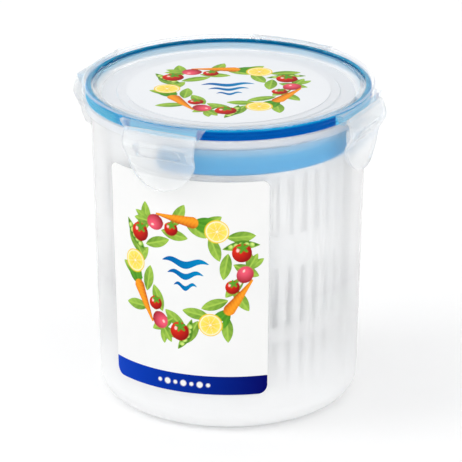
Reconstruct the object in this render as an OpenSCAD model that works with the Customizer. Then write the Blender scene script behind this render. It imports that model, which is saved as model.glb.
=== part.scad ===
// Round keeper with a latched sealing lid and a lift-out strainer tray.
// Millimetres, +Z up. The origin is the middle of the foot ring on the table.
// The front latch faces -Y. Each latch is drawn facing +X and then turned into place.

/* [Container] */
// Outer radius of the drafted wall, carried down to the table
base_r = 58.4; // [50:0.1:80]
// Outer radius of the wall just under the rim flange
mouth_r = 62.2; // [55:0.1:85]
// Height of the rim flange's top above the table
body_h = 141.4; // [125:0.1:180]
// Wall thickness
wall_t = 1.6; // [1.2:0.1:2.2]
// Floor thickness
floor_t = 2; // [1.4:0.1:3]
// Outer radius of the round between floor and wall
base_round_r = 11; // [6:0.5:14]
// Width of the flat ring that the container stands on
foot_w = 5.5; // [3:0.5:9]
// Depth of the hollow inside the foot ring
foot_h = 1.2; // [0.6:0.1:2]
// Reach of the rim flange beyond the wall
flange_w = 2.7; // [2.4:0.1:5]
// Height of the rim flange
flange_h = 3.7; // [3:0.1:6]
// Thickness of the flange's top and of its hanging lip
flange_t = 1.4; // [1:0.1:1.8]
// Height of the sealing lip above the flange
lip_h = 3.9; // [2.6:0.1:5]

/* [Lid] */
// Thickness of the lid's walls
lid_t = 1.6; // [1.2:0.1:2]
// Reach of the lid's skirt beyond the flange
skirt_over = 1.1; // [0.6:0.1:1.5]
// Gap between the skirt's lower edge and the flange
skirt_gap = 0.3; // [0.3:0.1:1]
// Depth of the plug below the flange's top
plug_depth = 2.4; // [1.5:0.1:4]
// Gap between the plug and the mouth
plug_gap = 1.2; // [0.6:0.1:2]
// Width of the lid's raised rim
rim_w = 5.4; // [4.8:0.1:6]
// Depth of the sunk panel below the lid's top
panel_drop = 5.2; // [3:0.1:5.6]
// Radius of the raised middle of the panel
plateau_r = 50; // [30:0.5:53]
// Height of the raised middle of the panel
plateau_h = 0.5; // [0.2:0.1:1]
// Radius of the lid's rounded top edge
lid_edge_r = 1; // [0.4:0.1:1.2]

/* [Seal] */
// Thickness of the seal over the container's lip
seal_t = 1.3; // [1:0.1:2]
// Lap of the seal over the outer edge of the container's lip
seal_lap = 0.5; // [0.3:0.1:0.9]
// Gap between the seal's skirt and the container's lip
lip_clear = 0.3; // [0.2:0.05:0.5]
// Side clearance of the seal in its channel
seal_clear = 0.1; // [0.05:0.05:0.3]
// Depth of the two lines around the seal's outer side
seal_line_d = 0.25; // [0.1:0.05:0.4]
// Radius of the seal's rounded upper outer edge
seal_edge_r = 0.9; // [0.4:0.1:1.2]

/* [Latches] */
// Width of a latch at its hinge
latch_w = 34.8; // [26:0.2:44]
// Radius of the latch's rounded tongue
tongue_r = 16.6; // [12:0.1:18]
// Length of the latch below its hinge axis
latch_len = 27; // [24:0.1:34]
// Thickness of the latch
latch_t = 1.6; // [1.4:0.1:2]
// Bulge of the latch outside its hinge axis
latch_bulge = 2.65; // [2.2:0.05:4]
// Clearance between the latch's tongue and the flange as the lid lifts off
lift_clear = 0.3; // [0.2:0.05:0.8]
// Flare at the tip of the tongue
tip_flare = 1; // [0:0.1:2]
// Height of the bulge's crown above the top of the hook
crown_over = 0.3; // [0:0.1:1]
// Length over which the bulge runs back to the tongue
bulge_run = 8.6; // [7:0.1:10]
// Length of the straight stretch above the tongue's flare
tongue_flat = 4.5; // [2:0.1:6]
// Radius of the latch's rounded hinge edge
nose_r = 0.85; // [0.7:0.05:1]
// Distance of the hinge axis outside the lid's skirt
hinge_out = 1.5; // [1.4:0.1:2.5]
// Depth of the hinge axis below the lid's top
hinge_drop = 4.2; // [3.4:0.1:4.6]
// Gap between lid and latch along the film hinge
hinge_gap = 0.25; // [0.2:0.05:0.4]
// Depth of the hinge block's top below the lid's top
block_drop = 1.1; // [1.1:0.1:2]
// Reach of the hinge block's ears beyond the latch, at their top
ear_w = 3; // [1:0.1:5]
// Width of the hook under the flange
hook_w = 24; // [23:0.5:28]
// Height of the hook
hook_h = 5.4; // [4.5:0.1:6]
// Height of the straight land on the hook's inner side
hook_land = 1.3; // [0.8:0.1:2]
// Lean of the hook's inner side below that land
hook_lean = 0.4; // [0.2:0.1:0.6]
// Height over which the hook's lower end runs out
hook_run = 1.2; // [0.6:0.1:1.5]
// Clearance between the hook and the flange's edge before the latch is pressed home
hook_clear = 0.2; // [0.15:0.05:0.3]
// Gap between the hook and the flange's underside
hook_gap = 0.5; // [0.45:0.05:0.8]
// Depth of the hollow's upper edge below the top of the hook
pocket_drop = 0.3; // [0:0.1:1]
// Width of the hollow in the latch's outer face, behind the hook
pocket_w = 20.8; // [12:0.2:22]
// Height of the hollow in the latch's outer face
pocket_h = 5.1; // [3:0.1:5.4]
// Depth of the hollow in the latch's outer face
pocket_d = 1; // [0.5:0.1:1.2]

/* [Tray] */
// Gap between the walls of the tray and the container, at the bottom
tray_gap = 3.2; // [2.4:0.1:12]
// Thickness of the tray's wall
tray_t = 1.4; // [1:0.1:2]
// Thickness of the tray's floor
tray_floor_t = 1.6; // [1.2:0.1:2.4]
// Outer radius of the round between the tray's floor and wall
tray_round_r = 9; // [5:0.5:12]
// Height of the tray's feet
tray_foot_h = 4; // [2:0.5:6]
// Turn of each foot around the tray
tray_foot_turn = 24; // [10:1:40]
// Distance of the feet inside the edge of the tray's flat floor
tray_foot_inset = 0.4; // [0.3:0.1:2]
// Gap between the feet and the container's floor
tray_seat_gap = 0.05; // [0.05:0.05:0.2]
// Depth of the tray's rim below the flange's top
tray_drop = 4.9; // [4:0.1:9]
// Inward width of the tray's rim bead
bead_w = 1.4; // [0.8:0.1:2]
// Height of the tray's rim bead
bead_h = 2; // [1.2:0.1:3]
// Number of slots around the tray
slot_cols = 48; // [24:4:56]
// Width of a wall slot
slot_w = 3; // [1.6:0.1:3.6]
// Lower ends of the three rows of slots, above the table
slot_row_z = [19, 48, 92]; // [16:1:100]
// Heights of the three rows of slots
slot_row_h = [22, 28, 27]; // [10:1:28]
// Number of drain slots in the floor's outer ring
drain_cols = 24; // [12:2:28]
// Width of a drain slot
drain_w = 3; // [1.6:0.1:4]
// Length of the outer drain slots
drain_len = 15.7; // [8:0.1:20]
// Radius of the plain middle of the tray's floor
drain_hub_r = 9.2; // [7:0.1:12]
// Width of the rib between the two rings of drain slots
drain_rib = 6; // [3:0.1:8]
// Distance of the drain slots inside the feet
drain_inset = 1; // [0.6:0.1:4]

/* [Handle] */
// Height of the strap
strap_h = 12.2; // [9:0.1:14]
// Thickness of the strap
strap_t = 1.8; // [1.4:0.1:2.2]
// Gap between the folded strap and the container's wall
strap_gap = 0.9; // [0.8:0.1:1.2]
// Gap between the folded strap and the tray
strap_clear = 0.8; // [0.7:0.1:1.2]
// Depth of the pivot below the flange's top
pivot_drop = 11.8; // [11:0.1:18]
// Radius of the pivot pegs
peg_r = 2.45; // [1.8:0.05:3.2]
// Radial clearance of the pegs in their bores
peg_clear = 0.05; // [0.03:0.01:0.1]
// Length of a peg inside the strap
peg_len = 5.4; // [4:0.1:7]
// Wall around the bore in the tray's boss
boss_wall = 2.4; // [1.6:0.1:3]
// Reach of the boss inside the tray's wall
boss_reach = 2.4; // [1.6:0.1:4]

/* [Labels] */
// Width of the front label, along the wall
label_w = 78; // [40:1:110]
// Height of the front label
label_h = 102.3; // [60:0.1:104]
// Height of the label's lower edge above the table
label_z = 19.3; // [14:0.1:30]
// Turn of the label's middle from the front latch
label_turn = 6.5; // [-20:0.5:20]
// Radius of the label's corners
label_corner_r = 4.2; // [1:0.1:10]
// Thickness of the labels
label_t = 0.2; // [0.1:0.05:0.3]
// Thickness of the adhesive under the labels
glue_t = 0.02; // [0.01:0.01:0.05]
// Radius of the round label on the lid
lid_label_r = 46; // [20:0.5:49]

/* [Hidden] */
$fn = 96;

// Margin by which a cutter runs past what it cuts
over = 1;
// Share of a thin wall's thickness that the rounding of its edge takes
edge_share = 0.4;
// Share of a label corner's radius from the edges to the middle of its arc
corner_bite = 0.96;

// Colours of the pieces
frosted = "#eef1f4";
clear_lid = "#e6edf3";
seal_blue = "#1668b8";
handle_blue = "#86bde2";
tray_white = "#f4f6f7";
paper_white = "#fbfbfa";

// Heights up the assembled keeper
flange_z = body_h - flange_h;
lip_top = body_h + lip_h;
channel_top = lip_top + seal_t;
lid_top = channel_top + lid_t;
skirt_z = body_h + skirt_gap;
plug_z = body_h - plug_depth;
panel_top = lid_top - panel_drop;
floor_z = foot_h + floor_t;
tray_z = floor_z + tray_seat_gap + tray_foot_h;
tray_floor_z = tray_z + tray_floor_t;
tray_top = body_h - tray_drop;
pivot_z = body_h - pivot_drop;
hinge_z = lid_top - hinge_drop;

// Drafted walls: radius at a height, and how much it grows for each millimetre
draft = (mouth_r - base_r) / flange_z;
function wall_r(z) = base_r + draft * z;
function inner_r(z) = wall_r(z) - wall_t;

// Radii of the rim, the lid and the seal
flange_r = mouth_r + flange_w;
lid_r = flange_r + skirt_over;
channel_out = lid_r - lid_t;
plug_r = inner_r(plug_z) - plug_gap;
plug_in = plug_r - lid_t;
seal_out = channel_out - seal_clear;
skirt_in = wall_r(lip_top) + lip_clear;
hinge_r = lid_r + hinge_out;
tongue_back = hinge_r - flange_r - lift_clear - latch_t;

// Sloping inner side of the lid's rim, and the corner of the seal channel behind it
recess_r = lid_r - rim_w;
knee_r = recess_r + lid_edge_r;
knee_z = channel_top - (knee_r - plug_r);

// Radii of the strap and of the tray that it folds against
tray_base_r = base_r - wall_t - tray_gap;
tray_foot_r = tray_base_r - tray_round_r - tray_foot_inset;
strap_out = inner_r(pivot_z - strap_h / 2) - strap_gap;
strap_in = strap_out - strap_t;
tray_top_r = strap_in - strap_clear;
tray_draft = (tray_top_r - tray_base_r) / (tray_top - tray_z);
function tray_r(z) = tray_base_r + tray_draft * (z - tray_z);
bore_r = peg_r + peg_clear;
boss_r = bore_r + boss_wall;
strap_edge_r = strap_t * edge_share;

// Depth marks down a latch: crown of the bulge, foot of the bulge, start of the flare
hook_z = flange_z - hook_gap;
crown_d = hinge_z - hook_z - crown_over;
waist_d = crown_d + bulge_run;
flare_d = waist_d + tongue_flat;
tip_z = hinge_z - latch_len;
tongue_z = tip_z + tongue_r;
pocket_z = hook_z - pocket_drop - pocket_h / 2;
latch_turns = [-90, 0, 90, 180];

// Points along an arc, from angle a0 to angle a1
function arc(x, y, r, a0, a1, steps = 6) = [
    for (i = [0:steps])
        let (a = a0 + (a1 - a0) * i / steps)
        [x + r * cos(a), y + r * sin(a)]
];

// Half section of a drafted cup, with a true round between its floor and its wall
module cup_section(r0, slope, z0, z1, round_r) {
    k = sqrt(1 + slope * slope);
    mid = r0 + slope * round_r - round_r * k;
    polygon([
        [0, z0],
        [mid, z0],
        [mid + round_r / k, z0 + round_r * (1 - slope / k)],
        [r0 + slope * (z1 - z0), z1],
        [0, z1]
    ]);
    translate([mid, z0 + round_r])
        circle(round_r);
}

// Square with rounded corners, from its low corner to its high corner
module round_rect(low, high, r) {
    translate([low.x + r, low.y])
        square([high.x - low.x - 2 * r, high.y - low.y]);
    translate([low.x, low.y + r])
        square([high.x - low.x, high.y - low.y - 2 * r]);
    for (x = [low.x + r, high.x - r])
        for (y = [low.y + r, high.y - r])
            translate([x, y])
                circle(r, $fn = 24);
}

// Slot with round ends, lying along X, centred on the origin
module round_slot(length, width, height) {
    translate([-(length - width) / 2, -width / 2, 0])
        cube([length - width, width, height]);
    for (x = [-(length - width) / 2, (length - width) / 2])
        translate([x, 0, 0])
            cylinder(r = width / 2, h = height, $fn = 32);
}

// Half section of the rim flange: a flat top with a hanging lip
module flange_section() {
    edge = flange_t * edge_share;
    polygon(concat(
        [[wall_r(flange_z) - wall_t / 2, body_h]],
        [[wall_r(flange_z) - wall_t / 2, body_h - flange_t]],
        [[flange_r - flange_t, body_h - flange_t]],
        [[flange_r - flange_t, flange_z]],
        [[flange_r, flange_z]],
        arc(flange_r - edge, body_h - edge, edge, 0, 90, 4)
    ));
}

module container() {
    foot_out = base_r + draft * base_round_r - base_round_r * sqrt(1 + draft * draft);
    foot_in = foot_out - foot_w;
    color(frosted)
        difference() {
            rotate_extrude() {
                cup_section(base_r, draft, 0, lip_top, base_round_r);
                flange_section();
            }
            rotate_extrude()
                cup_section(inner_r(floor_z), draft, floor_z, lip_top + over, base_round_r - wall_t);
            translate([0, 0, -over])
                cylinder(r = foot_in, h = over + foot_h);
        }
}

// Half section of the lid: skirt, seal channel, plug and sunk panel
module lid_section() {
    panel_under = panel_top - lid_t;
    bevel = lid_t / 2;
    polygon(concat(
        [[0, panel_under], [plug_in - bevel, panel_under]],
        [[plug_in, panel_under - bevel]],
        [[plug_in, plug_z], [plug_r, plug_z]],
        [[plug_r, knee_z], [knee_r, channel_top]],
        [[channel_out, channel_top], [channel_out, skirt_z], [lid_r, skirt_z]],
        arc(lid_r - lid_edge_r, lid_top - lid_edge_r, lid_edge_r, 0, 90),
        arc(recess_r + lid_edge_r, lid_top - lid_edge_r, lid_edge_r, 90, 150),
        [[plug_in, panel_top + bevel], [plug_in - bevel, panel_top]],
        [[plateau_r + plateau_h, panel_top], [plateau_r, panel_top + plateau_h]],
        [[0, panel_top + plateau_h]]
    ));
}

// Straight block on the round skirt that carries one latch's film hinge, with a slanted ear at each end
module hinge_block() {
    face = hinge_r - nose_r - hinge_gap;
    low = latch_w / 2;
    high = low + ear_w;
    block_top = lid_top - block_drop;
    difference() {
        rotate([90, 0, 90])
            linear_extrude(face)
                polygon([[-low, skirt_z], [low, skirt_z], [high, block_top], [-high, block_top]]);
        translate([0, 0, skirt_z - over])
            cylinder(r = lid_r - lid_t / 2, h = lid_top - skirt_z + 2 * over);
    }
}

module lid() {
    color(clear_lid) {
        rotate_extrude()
            lid_section();
        for (turn = latch_turns)
            rotate(turn)
                hinge_block();
    }
}

// Moulded silicone ring: a lap over the lip's outer edge, and a skirt with two lines around it
module seal_ring() {
    lap_in = wall_r(lip_top) - seal_lap;
    color(seal_blue)
        rotate_extrude()
            difference() {
                polygon(concat(
                    [[skirt_in, skirt_z], [seal_out, skirt_z]],
                    arc(seal_out - seal_edge_r, channel_top - seal_edge_r, seal_edge_r, 0, 90),
                    [[lap_in, channel_top], [lap_in, lip_top], [skirt_in, lip_top]]
                ));
                for (share = [1, 2])
                    translate([seal_out, skirt_z + (channel_top - skirt_z) * share / 3])
                        circle(seal_line_d, $fn = 16);
            }
}

// Smooth step from 0 to 1 as a share runs from 0 to 1
function ease(share) = (1 - cos(180 * share)) / 2;

// Outer face of a latch, as its distance outside the hinge axis at a depth below it
function latch_x(d) =
    d < crown_d ? nose_r + (latch_bulge - nose_r) * sin(90 * d / crown_d) :
    d < waist_d ? latch_bulge - (latch_bulge + tongue_back) * ease((d - crown_d) / bulge_run) :
    d < flare_d ? -tongue_back :
    -tongue_back + tip_flare * pow((d - flare_d) / (latch_len - flare_d), 2);

// Side profile of a latch, as a band of even thickness down to its tip
module latch_profile(thickness) {
    steps = 36;
    face = [for (i = [0:steps]) [latch_x(latch_len * i / steps), -latch_len * i / steps]];
    back = [for (i = [steps:-1:0]) [face[i].x - thickness, face[i].y]];
    polygon(concat(face, back));
}

// Front outline of a latch: straight at the hinge, round at the tongue
module latch_outline() {
    polygon([
        [-latch_w / 2, hinge_z + nose_r + over],
        [-latch_w / 2, hinge_z - crown_d],
        [-tongue_r, tongue_z],
        [tongue_r, tongue_z],
        [latch_w / 2, hinge_z - crown_d],
        [latch_w / 2, hinge_z + nose_r + over]
    ]);
    translate([0, tongue_z])
        circle(tongue_r);
}

// Profile of a latch drawn out to a width, standing at the hinge axis
module latch_band(width, thickness) {
    translate([hinge_r, width / 2, hinge_z])
        rotate([90, 0, 0])
            linear_extrude(width)
                latch_profile(thickness);
}

// Rib behind the latch that snaps under the flange, curved to the flange's own edge
module latch_hook() {
    hook_in = flange_r + hook_clear;
    hook_out = hinge_r + latch_bulge;
    half_turn = asin(hook_w / 2 / hook_in);
    rotate(-half_turn)
        rotate_extrude(angle = 2 * half_turn)
            polygon([
                [hook_in, hook_z],
                [hook_in, hook_z - hook_land],
                [hook_in + hook_lean, hook_z - hook_h],
                [hook_in + latch_t, hook_z - hook_h - hook_run],
                [hook_out, hook_z - hook_h - hook_run],
                [hook_out, hook_z]
            ]);
}

// Shallow hollow with round ends that follows the latch's outer face
module latch_pocket() {
    difference() {
        translate([hinge_r - latch_len, 0, pocket_z])
            rotate([90, 0, 90])
                round_slot(pocket_w, pocket_h, 2 * latch_len);
        translate([-pocket_d, 0, 0])
            latch_band(latch_w, 2 * latch_len);
    }
}

module latch() {
    color(clear_lid)
        difference() {
            intersection() {
                union() {
                    latch_band(latch_w, latch_t);
                    translate([hinge_r, latch_w / 2, hinge_z])
                        rotate([90, 0, 0])
                            cylinder(r = nose_r, h = latch_w, $fn = 32);
                    intersection() {
                        latch_hook();
                        translate([-latch_t / 2, 0, 0])
                            latch_band(latch_w, 2 * latch_len);
                    }
                }
                translate([hinge_r - latch_len, 0, 0])
                    rotate([90, 0, 90])
                        linear_extrude(2 * latch_len)
                            latch_outline();
            }
            latch_pocket();
        }
}

module latch_front() {
    rotate(latch_turns[0])
        latch();
}

module latch_right() {
    rotate(latch_turns[1])
        latch();
}

module latch_back() {
    rotate(latch_turns[2])
        latch();
}

module latch_left() {
    rotate(latch_turns[3])
        latch();
}

// Outer form of the tray, before it is hollowed
module tray_form() {
    rotate_extrude()
        cup_section(tray_base_r, tray_draft, tray_z, tray_top, tray_round_r);
}

// Hollow of the tray, with a bead left standing around the rim
module tray_hollow() {
    round_r = tray_round_r - tray_t;
    rotate_extrude() {
        cup_section(tray_r(tray_floor_z) - tray_t, tray_draft, tray_floor_z, tray_top - bead_h, round_r);
        translate([0, tray_top - bead_h - over])
            square([tray_top_r - tray_t - bead_w, bead_h + 2 * over]);
    }
}

// One column of wall slots, facing +X
module wall_slots() {
    for (row = [0:len(slot_row_z) - 1])
        translate([tray_base_r / 2, -slot_w / 2, slot_row_z[row]])
            cube([tray_base_r, slot_w, slot_row_h[row]]);
}

// One drain slot through the tray's floor, outwards along +X
module drain_slot(start, length) {
    translate([start, -drain_w / 2, tray_z - over])
        cube([length, drain_w, tray_floor_t + 2 * over]);
}

// Drain slots in the tray's floor: a full outer ring and half as many inside it
module drain_slots() {
    ring_out = tray_foot_r - tray_t - drain_inset;
    ring_in = ring_out - drain_len - drain_rib;
    for (i = [0:drain_cols - 1])
        rotate(i * 360 / drain_cols)
            drain_slot(ring_out - drain_len, drain_len);
    for (i = [0:drain_cols / 2 - 1])
        rotate(i * 720 / drain_cols)
            drain_slot(drain_hub_r, ring_in - drain_hub_r);
}

// Short curved feet between the drain slots and the floor's edge
module tray_feet() {
    for (turn = latch_turns)
        rotate(turn + 45 - tray_foot_turn / 2)
            rotate_extrude(angle = tray_foot_turn)
                translate([tray_foot_r - tray_t, tray_z - tray_foot_h])
                    square([tray_t, tray_foot_h + tray_floor_t / 2]);
}

// Bosses inside the tray's wall for the handle's pegs
module boss_rods(r, reach) {
    for (side = [-90, 90])
        rotate(side)
            translate([tray_top_r - reach, 0, pivot_z])
                rotate([0, 90, 0])
                    cylinder(r = r, h = 2 * reach, $fn = 48);
}

module tray() {
    color(tray_white)
        difference() {
            union() {
                difference() {
                    tray_form();
                    tray_hollow();
                    for (i = [0:slot_cols - 1])
                        rotate((i + 0.5) * 360 / slot_cols)
                            wall_slots();
                    drain_slots();
                }
                intersection() {
                    tray_form();
                    boss_rods(boss_r, tray_t + boss_reach);
                }
                tray_feet();
            }
            boss_rods(bore_r, tray_t + boss_reach + over);
        }
}

// Bail of the tray, folded down on the +X side, with its two pegs
module tray_handle() {
    low = pivot_z - strap_h / 2;
    color(handle_blue) {
        rotate(-90)
            rotate_extrude(angle = 180)
                round_rect([strap_in, low], [strap_out, low + strap_h], strap_edge_r);
        intersection() {
            rotate_extrude()
                round_rect([strap_in, low], [strap_out, low + strap_h], strap_edge_r);
            translate([0, strap_out + over, pivot_z])
                rotate([90, 0, 0])
                    cylinder(r = strap_h / 2, h = 2 * (strap_out + over));
        }
        for (side = [-90, 90])
            rotate(side)
                translate([strap_in - peg_len, 0, pivot_z])
                    rotate([0, 90, 0])
                        cylinder(r = peg_r, h = peg_len + strap_t / 2, $fn = 48);
    }
}

// Cutter that rounds one corner of the front label, its arc meeting the edges at a slight angle
module corner_cutter() {
    centre = label_corner_r * corner_bite;
    difference() {
        translate([0, -over, -over])
            cube([base_r + mouth_r, label_corner_r + over, label_corner_r + over]);
        translate([-over, centre, centre])
            rotate([0, 90, 0])
                cylinder(r = label_corner_r, h = base_r + mouth_r + 2 * over, $fn = 32);
    }
}

module front_label() {
    mid_r = wall_r(label_z + label_h / 2);
    turn = label_w / mid_r * 180 / PI;
    low = wall_r(label_z) + glue_t;
    high = wall_r(label_z + label_h) + glue_t;
    color(paper_white)
        rotate(latch_turns[0] + label_turn - turn / 2)
            difference() {
                rotate_extrude(angle = turn)
                    polygon([
                        [low, label_z],
                        [low + label_t, label_z],
                        [high + label_t, label_z + label_h],
                        [high, label_z + label_h]
                    ]);
                for (top = [0, 1])
                    for (end = [0, 1])
                        rotate(end * turn)
                            translate([0, 0, label_z + top * label_h])
                                mirror([0, end, 0])
                                    mirror([0, 0, top])
                                        corner_cutter();
            }
}

module lid_label() {
    color(paper_white)
        translate([0, 0, panel_top + plateau_h + glue_t])
            cylinder(r = lid_label_r, h = label_t);
}

container();
lid();
seal_ring();
latch_front();
latch_right();
latch_back();
latch_left();
tray();
tray_handle();
front_label();
lid_label();
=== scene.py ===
"""Looks of a round food keeper with a latched lid, a seal and a lift-out strainer tray.

Everything is in metres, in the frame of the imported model. Sizes below are millimetres times MM.
"""
import math

import bpy
import numpy as np
from mathutils import Matrix, Vector


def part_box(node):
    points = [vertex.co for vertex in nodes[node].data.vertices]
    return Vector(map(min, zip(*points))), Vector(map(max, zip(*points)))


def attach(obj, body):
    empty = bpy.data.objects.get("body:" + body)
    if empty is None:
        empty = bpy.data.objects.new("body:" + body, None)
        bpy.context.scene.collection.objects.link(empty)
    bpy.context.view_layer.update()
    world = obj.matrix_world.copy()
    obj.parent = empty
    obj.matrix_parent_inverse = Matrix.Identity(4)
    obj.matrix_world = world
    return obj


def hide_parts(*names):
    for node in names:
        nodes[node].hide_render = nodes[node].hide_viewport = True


MM = 0.001

# Camera: the photograph's viewing angle, solved for a lid 132 mm across
CAMERA_TURN = 26.5
CAMERA_RISE = 20.7666
CAMERA_RANGE = 2080.93 * MM
CAMERA_LENS = 356.54
CAMERA_SENSOR = 36.0
AIM_HEIGHT = 75.3776 * MM
AIM_RIGHT = 1.09 * MM

# Studio
FLOOR_SIDE = 9.0
WORLD_LIGHT = 1.0
BOUNCES = {
    "max_bounces": 40,
    "diffuse_bounces": 24,
    "glossy_bounces": 8,
    "transmission_bounces": 32,
    "transparent_max_bounces": 48,
}
LIGHTS = [
    # name, place, width and height in metres, watts
    ("key", (-1.2, -0.9, 1.0), (0.9, 0.9), 6.5),
    ("fill", (1.3, -0.8, 0.4), (0.9, 0.9), 3.5),
]

# Faces of the lid that have their own finishes
PANEL_EDGE = 60.7 * MM
PANEL_TOP = 143.6 * MM
PANEL_LOW = 140.9 * MM
LID_R = 66.0 * MM
LID_TOP = 148.2 * MM
LID_EDGE_LOW = 147.4 * MM
LID_EDGE_R = 64.9 * MM
BLOCK_HALF = 18.5 * MM

# Faces of the seal, and the places along X between which its side is painted paler: painted light,
# standing in for light coming through the clear rim
SEAL_STEP = 145.4 * MM
SEAL_EDGE_LOW = 145.6 * MM
SEAL_TOP = 146.5 * MM
SEAL_SIDE = 63.5 * MM
SEAL_LAP = 62.3 * MM
SEAL_RIB = 0.8 * MM
SEAL_PAINTED_LIGHT = (-5.0 * MM, -50.0 * MM)

# Container: its rim, and the heights between which it grows milkier towards its thick base
RIM_LOW = 137.5 * MM
MILKY_LOW = 5.0 * MM
MILKY_HIGH = 62.0 * MM

# Room for a face to lie off its exact place
SLACK = 0.02 * MM
ROOM = 0.2 * MM

# Printing on the labels, in millimetres on the flat film
INK = "ink"
INK_LIFT = 0.02
INK_GRID = 0.35
INK_SOFT = 0.3
PAPER = (0.80, 0.805, 0.80)
LEAF_DARK = (0.035, 0.17, 0.012)
LEAF = (0.10, 0.34, 0.025)
LEAF_PALE = (0.36, 0.56, 0.08)
YELLOW = (0.86, 0.58, 0.03)
LEMON = (0.93, 0.76, 0.16)
ORANGE = (0.92, 0.33, 0.02)
RUST = (0.48, 0.085, 0.008)
RED = (0.66, 0.025, 0.012)
WINE = (0.27, 0.006, 0.008)
PINK = (0.80, 0.10, 0.16)
CREAM = (0.90, 0.86, 0.70)
SHINE = (0.95, 0.60, 0.55)
PEA = (0.62, 0.80, 0.20)
BLUE = (0.0, 0.10, 0.36)
AZURE = (0.0, 0.24, 0.50)
NAVY_LIGHT = (0.0, 0.045, 0.46)
NAVY = (0.0, 0.0005, 0.11)
LABEL_CORNER = 4.2
BAND_H = 9.0
BAND_INSET = 0.05
BEADS = 7
BEAD_START = 0.35
BEAD_PITCH = 0.05
BEAD_SMALL = 0.8
BEAD_LARGE = 1.3
FRONT_WREATH_R = 24.5
LID_WREATH_R = 26.0
LID_WREATH_SIZE = 1.1
LID_PRINT_TURN = 30.0

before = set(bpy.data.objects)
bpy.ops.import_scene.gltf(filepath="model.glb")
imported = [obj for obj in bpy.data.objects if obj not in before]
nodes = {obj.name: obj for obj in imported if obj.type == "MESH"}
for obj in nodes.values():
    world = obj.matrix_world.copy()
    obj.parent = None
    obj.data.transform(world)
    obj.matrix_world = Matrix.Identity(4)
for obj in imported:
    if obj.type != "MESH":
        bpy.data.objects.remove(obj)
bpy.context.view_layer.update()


def socket(shader, **values):
    """Sets named inputs of a shader; underscores stand for spaces."""
    for name, value in values.items():
        shader.inputs[name.replace("_", " ")].default_value = value


class Finish:
    """A material under construction, with short ways to add and join nodes."""

    def __init__(self, name, **values):
        self.material = bpy.data.materials.new(name)
        self.material.use_nodes = True
        self.tree = self.material.node_tree
        self.shader = self.tree.nodes["Principled BSDF"]
        socket(self.shader, **values)
        self.place = self.node("ShaderNodeTexCoord").outputs["Object"]

    def node(self, kind, **settings):
        made = self.tree.nodes.new(kind)
        for name, value in settings.items():
            setattr(made, name, value)
        return made

    def join(self, output, node_input):
        self.tree.links.new(output, node_input)

    def stretched(self, x, y, z):
        """The object's coordinates, scaled along each axis."""
        mapping = self.node("ShaderNodeMapping")
        mapping.inputs["Scale"].default_value = (x, y, z)
        self.join(self.place, mapping.inputs["Vector"])
        return mapping.outputs["Vector"]

    def noise(self, scale, detail=3.0, rough=0.5, where=None):
        made = self.node("ShaderNodeTexNoise")
        made.inputs["Scale"].default_value = scale
        made.inputs["Detail"].default_value = detail
        made.inputs["Roughness"].default_value = rough
        self.join(where or self.place, made.inputs["Vector"])
        return made.outputs["Fac"]

    def rings(self, pitch):
        """A factor that rises and falls with the distance from the upright axis."""
        made = self.node("ShaderNodeTexWave", wave_type="RINGS", rings_direction="Z")
        made.inputs["Scale"].default_value = 2 * math.pi / 20 / pitch
        self.join(self.place, made.inputs["Vector"])
        return made.outputs["Fac"]

    def ramp(self, fac, *stops):
        """Colours along a factor; each stop is a place and a linear colour."""
        made = self.node("ShaderNodeValToRGB")
        band = made.color_ramp.elements
        while len(band) < len(stops):
            band.new(0.5)
        for element, (place, colour) in zip(band, stops):
            element.position = place
            element.color = (*colour, 1.0)
        self.join(fac, made.inputs["Fac"])
        return made.outputs["Color"]

    def rise(self, low, high, axis="Z"):
        """A factor that goes from 0 at one place along an axis to 1 at another, in metres."""
        split = self.node("ShaderNodeSeparateXYZ")
        self.join(self.place, split.inputs["Vector"])
        made = self.node("ShaderNodeMapRange")
        made.inputs["From Min"].default_value = low
        made.inputs["From Max"].default_value = high
        self.join(split.outputs[axis], made.inputs["Value"])
        return made.outputs["Result"]

    def stirred(self, fac, noise, share):
        """A factor with some noise added to it."""
        made = self.node("ShaderNodeMath", operation="MULTIPLY_ADD")
        made.inputs[1].default_value = share
        self.join(noise, made.inputs[0])
        self.join(fac, made.inputs[2])
        return made.outputs["Value"]

    def span(self, fac, low, high):
        """A factor from 0 to 1, carried to the range from low to high."""
        made = self.node("ShaderNodeMapRange")
        made.inputs["To Min"].default_value = low
        made.inputs["To Max"].default_value = high
        self.join(fac, made.inputs["Value"])
        return made.outputs["Result"]

    def colour(self, output):
        self.join(output, self.shader.inputs["Base Color"])

    def roughness(self, fac, low, high):
        self.join(self.span(fac, low, high), self.shader.inputs["Roughness"])

    def bump(self, height, depth):
        """Bump from a height factor; depth is its full height in metres."""
        made = self.node("ShaderNodeBump")
        made.inputs["Strength"].default_value = 1.0
        made.inputs["Distance"].default_value = depth
        self.join(height, made.inputs["Height"])
        self.join(made.outputs["Normal"], self.shader.inputs["Normal"])

    def tones(self, fac, low, high):
        """Colours the surface between two tones, along a factor."""
        self.colour(self.ramp(fac, (0.3, low), (0.7, high)))

    def grained(self, scale, low, high, depth):
        """A fine grain, with the roughness between two values and a bump of some depth."""
        grain = self.noise(scale, 2.0)
        self.roughness(grain, low, high)
        self.bump(grain, depth)


def frosted_plastic(name, low, high, **values):
    """Natural polypropylene of the container, between two tones."""
    f = Finish(name, IOR=1.12, Coat_Weight=0.25, **values)
    f.tones(f.noise(60.0, 4.0, 0.55, f.stretched(1.0, 1.0, 0.15)), low, high)
    f.grained(2600.0, 0.36, 0.46, 0.01 * MM)
    return f


def rim_plastic():
    """The container's flange and the lip above it."""
    tones = (0.935, 0.957, 1.0), (0.95, 0.968, 1.0)
    return frosted_plastic("rim_plastic", *tones, Transmission_Weight=0.7, Alpha=0.45).material


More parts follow.
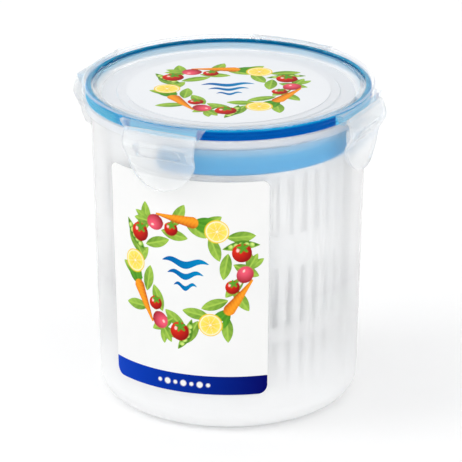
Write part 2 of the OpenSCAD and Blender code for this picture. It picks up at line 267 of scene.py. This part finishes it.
def wall_plastic():
    """The container's wall and base: clear against what touches it, and milkier towards the base."""
    f = frosted_plastic("wall_plastic", (0.988, 0.992, 0.996), (0.995, 0.997, 0.999))
    height = f.rise(MILKY_LOW, MILKY_HIGH)
    f.join(f.span(height, 0.16, 0.85), f.shader.inputs["Transmission Weight"])
    f.join(f.span(height, 0.82, 0.34), f.shader.inputs["Alpha"])
    return f.material


def clear_plastic(name, passing, cover):
    """Clear polypropylene of the lid's rim."""
    f = Finish(name, Transmission_Weight=passing, Alpha=cover, IOR=1.25)
    f.tones(f.noise(45.0), (0.95, 0.965, 0.975), (0.985, 0.99, 0.995))
    f.grained(1800.0, 0.08, 0.14, 0.004 * MM)
    return f.material


def latch_plastic(name, passing, cover):
    """The same plastic where it is bent and drawn: the latches and the blocks that carry them."""
    f = Finish(name, Transmission_Weight=passing, Alpha=cover, IOR=1.4)
    flow = f.noise(55.0, where=f.stretched(1.0, 1.0, 0.4))
    f.tones(flow, (0.965, 0.981, 0.989), (0.98, 0.99, 0.995))
    f.grained(1900.0, 0.07, 0.13, 0.005 * MM)
    return f.material


def slope_plastic():
    """The inner side of the lid's rim, with painted light: a blue tint towards its top stands in for the
    seal's blue showing through the clear plastic.
    """
    f = Finish("slope_plastic", Transmission_Weight=0.35, Alpha=0.6, IOR=1.4)
    painted_seal_blue = f.stirred(f.rise(PANEL_TOP, LID_TOP), f.noise(55.0), 0.2)
    stops = [(0.15, (0.955, 0.975, 0.987)), (0.6, (0.72, 0.88, 0.96)), (1.0, (0.28, 0.62, 0.86))]
    f.colour(f.ramp(painted_seal_blue, *stops))
    f.grained(1900.0, 0.16, 0.24, 0.005 * MM)
    return f.material


def panel_plastic():
    """The lid's middle panel, whose underside is matt, so that it looks milky."""
    f = Finish("panel_plastic", Transmission_Weight=0.1, Alpha=0.92, IOR=1.4, Specular_IOR_Level=0.4)
    f.tones(f.noise(30.0), (0.805, 0.83, 0.86), (0.83, 0.85, 0.88))
    f.grained(1500.0, 0.3, 0.4, 0.006 * MM)
    return f.material


def painted_rib_light(f):
    """Fine rings of painted light and shade round the seal."""
    return f.rings(SEAL_RIB)


def painted_seal_light(f):
    """Painted light: from the seal's full dye to a paler tone towards -X, standing in for light coming
    through the clear rim.
    """
    return f.rise(*SEAL_PAINTED_LIGHT, axis="X")


def seal_silicone(name, deep, pale, pattern=None):
    """Silicone of the seal, between a deep and a pale tone, along a pattern or its own noise; where a
    pattern is given, the tones are painted light and shade.
    """
    f = Finish(name, IOR=1.41, Specular_IOR_Level=0.0)
    dye = f.noise(90.0)
    f.tones(f.stirred(pattern(f), dye, 0.3) if pattern else dye, deep, pale)
    f.grained(3000.0, 0.28, 0.42, 0.01 * MM)
    return f.material


def handle_plastic():
    """Tinted plastic of the handle, with painted light: paler towards its edges and most of all at its
    top, standing in for light scattered by the frosted wall in front of it.
    """
    low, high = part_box("tray_handle")
    f = Finish("handle_plastic", IOR=1.49)
    dye = f.noise(70.0, where=f.stretched(1.0, 1.0, 3.0))
    height = f.stirred(f.rise(low.z, high.z), dye, 0.12)
    stops = [
        (0.0, (0.04, 0.37, 0.70)),
        (0.35, (0.0, 0.33, 0.67)),
        (0.7, (0.04, 0.38, 0.68)),
        (1.0, (0.30, 0.51, 0.70)),
    ]
    f.colour(f.ramp(height, *stops))
    f.grained(2200.0, 0.32, 0.45, 0.01 * MM)
    return f.material


def tray_plastic():
    """White plastic of the tray, which lets some light through."""
    f = Finish("tray_plastic", IOR=1.12, Transmission_Weight=0.5, Alpha=0.78)
    flow = f.noise(50.0, 4.0, where=f.stretched(1.0, 1.0, 0.2))
    f.tones(flow, (0.98, 0.984, 0.988), (0.99, 0.993, 0.995))
    f.grained(2200.0, 0.35, 0.5, 0.01 * MM)
    return f.material


def label_film(name, low, high):
    """White film of a label, between two tones."""
    f = Finish(name, IOR=1.5, Specular_IOR_Level=0.2)
    f.tones(f.noise(40.0), low, high)
    f.grained(3500.0, 0.45, 0.55, 0.006 * MM)
    return f.material


def ink():
    """Printing on the labels, in the colours that the mesh carries."""
    f = Finish("ink", IOR=1.5, Specular_IOR_Level=0.03)
    f.colour(f.node("ShaderNodeVertexColor", layer_name=INK).outputs["Color"])
    f.grained(3500.0, 0.4, 0.5, 0.004 * MM)
    return f.material


def floor_paint():
    f = Finish("floor_paint", IOR=1.3)
    f.tones(f.noise(3.0, 4.0), (0.93, 0.93, 0.93), (0.95, 0.95, 0.95))
    f.roughness(f.noise(40.0), 0.75, 0.85)
    return f.material


def paint(name, material):
    """Gives a CAD node its material."""
    slots = nodes[name].data.materials
    slots.clear()
    slots.append(material)


class Print:
    """Ink on a flat patch: points in millimetres, their colours, and their gaps to the nearest ink."""

    def __init__(self, x, y):
        self.x, self.y = x, y
        self.rgb = np.empty((len(x), 3))
        self.rgb[:] = PAPER
        self.gap = np.full(len(x), np.inf)

    def lay(self, gap, low, high=None, share=0.0):
        """Covers the points whose gap is under 0, in one colour or in a blend by share."""
        share = np.clip(share + np.zeros(len(gap)), 0.0, 1.0)[:, None]
        colour = np.array(low) * (1.0 - share) + np.array(high or low) * share
        cover = np.clip(1.0 - gap / INK_SOFT, 0.0, 1.0)[:, None]
        self.rgb += (colour - self.rgb) * cover
        self.gap = np.minimum(self.gap, gap)

    def seen_from(self, x, y, turn=0.0):
        """The points as seen from a place whose own up is turned by some degrees."""
        c, s = math.cos(math.radians(turn)), math.sin(math.radians(turn))
        dx, dy = self.x - x, self.y - y
        return c * dx + s * dy, c * dy - s * dx


def blade(x, y, length, width):
    """Gap to a pointed leaf that grows up from the origin."""
    half, side = length / 2, width / 2
    radius = (half * half + side * side) / (2 * side)
    return np.hypot(np.abs(x) + radius - side, y - half) - radius


def taper(x, y, length, top_r, tip_r):
    """Gap to a round-ended taper that hangs down from the origin."""
    t = np.clip(-y / length, 0.0, 1.0)
    return np.hypot(x, y + t * length) - (top_r + (tip_r - top_r) * t)


def leaf(p, x, y, turn, length, width, low=LEAF_DARK, high=LEAF_PALE):
    u, v = p.seen_from(x, y, turn)
    veins = 0.5 + 0.5 * np.cos((v - 1.1 * np.abs(u)) * 2 * math.pi / 3.2)
    p.lay(blade(u, v, length, width), low, high, 0.3 + 0.42 * v / length + 0.16 * veins + 0.1 * np.sign(u))
    p.lay(np.maximum(np.abs(u) - 0.2, np.abs(v - length / 2) - length * 0.46), high)


def carrot(p, x, y, turn, length, r):
    for lean in (-24, 20, -6):
        leaf(p, x, y, turn + lean, length * 0.55, r * 1.1, LEAF_DARK, LEAF)
    u, v = p.seen_from(x, y, turn)
    width = r * (1.0 - 0.84 * np.clip(-v / length, 0.0, 1.0)) + 0.3
    light = 1.0 - 0.8 * np.abs(u / width + 0.25) ** 1.6
    rings = 0.2 * np.cos(v * 2 * math.pi / 3.4 + 1.5 * np.sin(u)) ** 8
    p.lay(taper(u, v, length, r, r * 0.16), RUST, ORANGE, light - rings)


def tomato(p, x, y, r):
    u, v = p.seen_from(x, y)
    light = 1.0 - np.hypot(u + 0.35 * r, v - 0.4 * r) / (1.45 * r)
    p.lay(np.hypot(u, v) - r, WINE, RED, light * 1.35)
    p.lay(np.hypot((u + 0.42 * r) * 1.3, v - 0.3 * r) - 0.17 * r, SHINE)
    for turn in range(10, 370, 72):
        leaf(p, x + 0.1 * r, y + 0.55 * r, turn, 0.62 * r, 0.26 * r, LEAF_DARK, LEAF)


def radish(p, x, y, turn, r):
    a = math.radians(turn)
    for lean in (-26, 24, 0):
        leaf(p, x - 0.8 * r * math.sin(a), y + 0.8 * r * math.cos(a), turn + lean, 2.3 * r, 0.9 * r)
    u, v = p.seen_from(x, y, turn)
    p.lay(taper(u, v, 2.3 * r, 0.3 * r, 0.03 * r), CREAM)
    light = 1.0 - np.hypot(u + 0.3 * r, v - 0.35 * r) / (1.6 * r)
    p.lay(np.hypot(u, v * 0.92) - r, WINE, PINK, light * 1.3)
    p.lay(np.hypot((u + 0.36 * r) * 1.5, v - 0.36 * r) - 0.17 * r, SHINE)


def pea_pod(p, x, y, turn, length):
    """An open pod, lying along its own up."""
    u, v = p.seen_from(x, y, turn)
    bent = u + 0.06 * length * np.cos(math.pi * (v / length - 0.5))
    width = 0.26 * length
    p.lay(blade(bent, v, length, width), LEAF_DARK, LEAF_PALE, 0.55 + 0.9 * bent / width)
    p.lay(blade(bent, v - 0.07 * length, 0.86 * length, 0.62 * width), LEAF_DARK)
    for k in range(5):
        along = v - length * (0.22 + 0.14 * k)
        r = length * (0.075 - 0.008 * abs(k - 2))
        light = 1.1 - np.hypot(bent + 0.3 * r, along - 0.35 * r) / (1.5 * r)
        p.lay(np.hypot(bent, along) - r, LEAF, PEA, light * 1.2)


def lemon_slice(p, x, y, r):
    u, v = p.seen_from(x, y, 15.0)
    far, angle = np.hypot(u, v), np.arctan2(v, u)
    p.lay(far - r, YELLOW)
    p.lay(far - 0.88 * r, CREAM)
    off_ray = math.pi / 8 - np.abs(np.mod(angle * 4 / math.pi, 1.0) - 0.5) * math.pi / 4
    flesh = np.maximum(far - 0.8 * r, np.maximum(0.2 - off_ray * far, 0.12 * r - far))
    p.lay(flesh, YELLOW, LEMON, far / r + 0.2 * np.sin(angle * 40))


def wave(p, x, y, length, rise, thick):
    """A wavy stroke that thins towards its ends."""
    u, v = p.seen_from(x, y)
    along = np.clip(u / length + 0.5, 0.0, 1.0)
    body = thick / 2 * np.sin(math.pi * np.clip(along, 0.01, 0.99)) ** 0.7
    gap = np.abs(v - rise * np.sin(3 * math.pi * along)) * 0.85 - body
    p.lay(np.maximum(gap, np.abs(u) - length / 2), BLUE, AZURE, along)


def wreath(p, x, y, radius, size):
    """A ring of leaves, roots, fruit and pods round three waves."""
    def spot(angle, out=0.0):
        a = math.radians(angle)
        return x + (radius + out * size) * math.sin(a), y + (radius + out * size) * math.cos(a)

    for k in range(24):
        lean = 48 if k % 2 else -40
        leaf(p, *spot(15 * k, -2.0 if k % 3 else 2.0), lean - 90 - 15 * k, 13 * size, 5.2 * size)
    for at in (0, 120, 240):
        carrot(p, *spot(at + 8, 1.0), -at - 96, 17 * size, 2.7 * size)
        pea_pod(p, *spot(at + 52, -3.2), -at - 84, 17 * size)
        lemon_slice(p, *spot(at + 34, 1.5), 5.4 * size)
        radish(p, *spot(at + 88, 2.4), -at - 30, 3.7 * size)
        tomato(p, *spot(at + 66, 3.4), 4.4 * size)
        tomato(p, *spot(at + 103, -2.6), 3.2 * size)
    for k, length in enumerate((22.0, 17.0, 11.0)):
        wave(p, x, y + (5.6 - 5.6 * k) * size, length * size, 1.1 * size, (3.0 - 0.5 * k) * size)


def printed_sheet(name, width, height, draw, mould):
    """A sheet of ink: draw prints on a flat grid, and mould carries its points onto the label."""
    xs = np.linspace(0.0, width, round(width / INK_GRID) + 1)
    ys = np.linspace(0.0, height, round(height / INK_GRID) + 1)
    x, y = (part.ravel() for part in np.meshgrid(xs, ys))
    p = Print(x, y)
    draw(p)
    points, colours, known = [], [], {}

    def corner(i):
        if i not in known:
            known[i] = len(points)
            points.append((x[i], y[i]))
            colours.append(p.rgb[i])
        return known[i]

    def crossing(i, j):
        """The point on a grid edge where the ink ends."""
        key = (min(i, j), max(i, j))
        if key not in known:
            a, b = key
            t = p.gap[a] / (p.gap[a] - p.gap[b])
            known[key] = len(points)
            points.append((x[a] + (x[b] - x[a]) * t, y[a] + (y[b] - y[a]) * t))
            colours.append(p.rgb[a] if p.gap[a] < 0.0 else p.rgb[b])
        return known[key]

    faces = []
    row = len(xs)
    for r in range(len(ys) - 1):
        for c in range(row - 1):
            ring = (r * row + c, r * row + c + 1, (r + 1) * row + c + 1, (r + 1) * row + c)
            inked = [p.gap[i] < 0.0 for i in ring]
            if not any(inked):
                continue
            face = []
            for k, i in enumerate(ring):
                j = ring[(k + 1) % 4]
                if inked[k]:
                    face.append(corner(i))
                if inked[k] != inked[(k + 1) % 4]:
                    face.append(crossing(i, j))
            faces.append(face)

    mesh = bpy.data.meshes.new(name)
    mesh.from_pydata([mould(*point) for point in points], [], faces)
    layer = mesh.color_attributes.new(INK, "FLOAT_COLOR", "POINT")
    layer.data.foreach_set("color", np.hstack([colours, np.ones((len(colours), 1))]).ravel())
    mesh.shade_smooth()
    sheet = bpy.data.objects.new(name, mesh)
    bpy.context.scene.collection.objects.link(sheet)
    return sheet


def make_prints(material):
    """Printing of the front label and of the lid's label, laid just over their films."""
    film = np.array([v.co for v in nodes["front_label"].data.vertices]) / MM
    radius, angle = np.hypot(film[:, 0], film[:, 1]), np.arctan2(film[:, 1], film[:, 0])
    low, high = film[:, 2].min(), film[:, 2].max()
    low_r = radius[film[:, 2] < low + 1e-3].max() + INK_LIFT
    high_r = radius[film[:, 2] > high - 1e-3].max() + INK_LIFT
    middle, mid_r = (angle.min() + angle.max()) / 2, (low_r + high_r) / 2
    width, height = (angle.max() - angle.min()) * mid_r, high - low

    def on_front(u, v):
        r = low_r + (high_r - low_r) * v / height
        a = middle + (u - width / 2) / mid_r
        return r * math.cos(a) * MM, r * math.sin(a) * MM, (low + v) * MM

    def draw_front(p):
        wreath(p, width * 0.52, height * 0.56, FRONT_WREATH_R, 1.0)
        u, v = np.abs(p.x - width / 2), p.y
        past = np.maximum(u - width / 2 + LABEL_CORNER, 0.0)
        corner = np.hypot(past, np.maximum(LABEL_CORNER - v, 0.0)) - LABEL_CORNER
        edge = np.maximum(np.maximum(corner, u - width / 2), -v)
        band = np.maximum(v - BAND_H, edge) + BAND_INSET
        p.lay(band, NAVY_LIGHT, NAVY, p.x / width)
        for k in range(BEADS):
            bead = np.hypot(p.x - width * (BEAD_START + BEAD_PITCH * k), v - BAND_H / 2)
            p.lay(bead - (BEAD_LARGE if k % 2 else BEAD_SMALL), PAPER)

    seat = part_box("lid_label")
    lid_r = (seat[1].x - seat[0].x) / 2 / MM
    turn = math.radians(LID_PRINT_TURN)

    def on_lid(u, v):
        u, v = u - lid_r, v - lid_r
        x, y = math.cos(turn) * u - math.sin(turn) * v, math.sin(turn) * u + math.cos(turn) * v
        return x * MM, y * MM, seat[1].z + INK_LIFT * MM

    def draw_lid(p):
        wreath(p, lid_r, lid_r, LID_WREATH_R, LID_WREATH_SIZE)

    pieces = [
        ("front_print", width, height, draw_front, on_front, "container", "front_label"),
        ("lid_print", 2 * lid_r, 2 * lid_r, draw_lid, on_lid, "lid", "lid_label"),
    ]
    for name, wide, tall, draw, mould, body, slot in pieces:
        sheet = printed_sheet(name, wide, tall, draw, mould)
        sheet.data.materials.append(material)
        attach(sheet, body)


def dressed(node, body, slot, base, *others):
    """A copy of a CAD node in several finishes: each of the others is a material and a test of a face."""
    mesh = nodes[node].data.copy()
    mesh.materials.clear()
    mesh.materials.append(base)
    place = np.array([v.co for v in mesh.vertices])
    radius = np.hypot(place[:, 0], place[:, 1])
    for index, (material, test) in enumerate(others, 1):
        mesh.materials.append(material)
        for face in mesh.polygons:
            points = list(face.vertices)
            if test(radius[points], place[points]):
                face.material_index = index
    piece = bpy.data.objects.new(node + "_shell", mesh)
    bpy.context.scene.collection.objects.link(piece)
    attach(piece, body)
    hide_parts(node)


def on_rim(radius, place):
    """The container's flange and the lip above it."""
    return place[:, 2].min() > RIM_LOW


def on_seal_edge(radius, place):
    """The seal's rounded upper edge."""
    return place[:, 2].min() > SEAL_EDGE_LOW and radius.min() > SEAL_SIDE - ROOM


def on_seal_lap(radius, place):
    """The end of the lap that reaches in over the lid's channel."""
    return radius.max() < SEAL_LAP


def on_pale_seal(radius, place):
    """The seal's flat top, the inner side of its skirt, and its outer side behind the hinge blocks, in a
    paler tone; behind the blocks it is painted light, standing in for light coming through them.
    """
    flat = place[:, 2].min() > SEAL_TOP or place[:, 2].max() < SEAL_STEP
    behind_block = radius.min() > SEAL_SIDE and np.abs(place[:, :2]).min(axis=1).max() < BLOCK_HALF
    return behind_block or flat and radius.max() < SEAL_SIDE


def on_panel(radius, place):
    """The lid's sunk panel."""
    return radius.max() < PANEL_EDGE and PANEL_LOW < place[:, 2].min() and place[:, 2].max() < PANEL_TOP


def on_crown(radius, place):
    """The flat top of the lid's rim."""
    return radius.min() > PANEL_EDGE - ROOM and place[:, 2].min() > LID_TOP - SLACK


def on_lid_edge(radius, place):
    """The rounded edge around the top of the lid."""
    rounded = place[:, 2].min() > LID_EDGE_LOW and place[:, 2].min() < LID_TOP - SLACK
    return rounded and LID_EDGE_R < radius.min() and radius.max() < LID_R


def on_lid_slope(radius, place):
    """The inner side of the lid's rim."""
    return radius.max() < PANEL_EDGE and PANEL_TOP < place[:, 2].max() and PANEL_LOW < place[:, 2].min()


def on_hinge_block(radius, place):
    """The blocks that carry the latches."""
    return radius.min() > LID_R - SLACK and np.abs(place[:, :2]).max() > LID_R + ROOM


def looking(place, aim):
    """A matrix that stands at a place and looks at aim, as cameras and lights do."""
    return Matrix.Translation(place) @ (place - aim).to_track_quat("Z", "Y").to_matrix().to_4x4()


def make_camera():
    turn = math.radians(CAMERA_TURN)
    rise = math.radians(CAMERA_RISE)
    right = Vector((math.cos(turn), math.sin(turn), 0.0))
    back = Vector((math.sin(turn) * math.cos(rise), -math.cos(turn) * math.cos(rise), math.sin(rise)))
    aim = Vector((0.0, 0.0, AIM_HEIGHT)) + right * AIM_RIGHT
    data = bpy.data.cameras.new("camera")
    data.sensor_width = CAMERA_SENSOR
    data.lens = CAMERA_LENS
    camera = bpy.data.objects.new("camera", data)
    camera.matrix_world = looking(aim + back * CAMERA_RANGE, aim)
    bpy.context.scene.collection.objects.link(camera)
    bpy.context.scene.camera = camera


def make_floor():
    half = FLOOR_SIDE / 2
    mesh = bpy.data.meshes.new("floor")
    corners = [(-half, -half, 0.0), (half, -half, 0.0), (half, half, 0.0), (-half, half, 0.0)]
    mesh.from_pydata(corners, [], [(0, 1, 2, 3)])
    mesh.materials.append(floor_paint())
    floor = bpy.data.objects.new("floor", mesh)
    bpy.context.scene.collection.objects.link(floor)


def make_light(name, place, aim, size, power):
    data = bpy.data.lights.new(name, "AREA")
    data.shape = "RECTANGLE"
    data.size, data.size_y = size
    data.energy = power
    light = bpy.data.objects.new(name, data)
    light.matrix_world = looking(Vector(place), Vector(aim))
    bpy.context.scene.collection.objects.link(light)


def make_studio():
    world = bpy.data.worlds.new("studio")
    world.use_nodes = True
    sky = world.node_tree.nodes["Background"]
    sky.inputs["Color"].default_value = (1.0, 1.0, 1.0, 1.0)
    sky.inputs["Strength"].default_value = WORLD_LIGHT
    scene = bpy.context.scene
    scene.world = world
    scene.view_settings.view_transform = "Standard"
    for kind, count in BOUNCES.items():
        setattr(scene.cycles, kind, count)
    middle = (0.0, 0.0, AIM_HEIGHT)
    for name, place, size, power in LIGHTS:
        make_light(name, place, middle, size, power)


make_camera()
make_floor()
make_studio()

drawn = latch_plastic("latch_plastic", 0.66, 0.58)
dressed("container", "container", "container", wall_plastic(), (rim_plastic(), on_rim))
# The seal's main tone is painted paler towards -X: painted light, standing in for light coming through the
# clear rim.
dressed("seal_ring", "lid", "seal",
        seal_silicone("seal_silicone", (0.0, 0.088, 0.40), (0.05, 0.39, 0.63), painted_seal_light),
        # Paler seal tone: painted light behind the hinge blocks, with fine rings of painted light and
        # shade.
        (seal_silicone("seal_pale", (0.0, 0.34, 0.64), (0.09, 0.53, 0.80), painted_rib_light), on_pale_seal),
        (seal_silicone("seal_lap", (0.0, 0.11, 0.28), (0.0, 0.14, 0.33)), on_seal_lap),
        (seal_silicone("seal_edge", (0.0, 0.23, 0.53), (0.01, 0.31, 0.60)), on_seal_edge))
dressed("lid", "lid", "lid", clear_plastic("clear_plastic", 1.0, 0.12),
        (panel_plastic(), on_panel), (clear_plastic("crown_plastic", 0.72, 0.4), on_crown),
        (slope_plastic(), on_lid_slope),
        (latch_plastic("edge_plastic", 0.5, 0.6), on_lid_edge), (drawn, on_hinge_block))
for side in ("front", "right", "back", "left"):
    paint("latch_" + side, drawn)
paint("tray", tray_plastic())
paint("tray_handle", handle_plastic())
paint("front_label", label_film("front_film", (0.79, 0.795, 0.79), (0.815, 0.815, 0.81)))
paint("lid_label", label_film("lid_film", (0.77, 0.79, 0.815), (0.79, 0.81, 0.835)))
make_prints(ink())
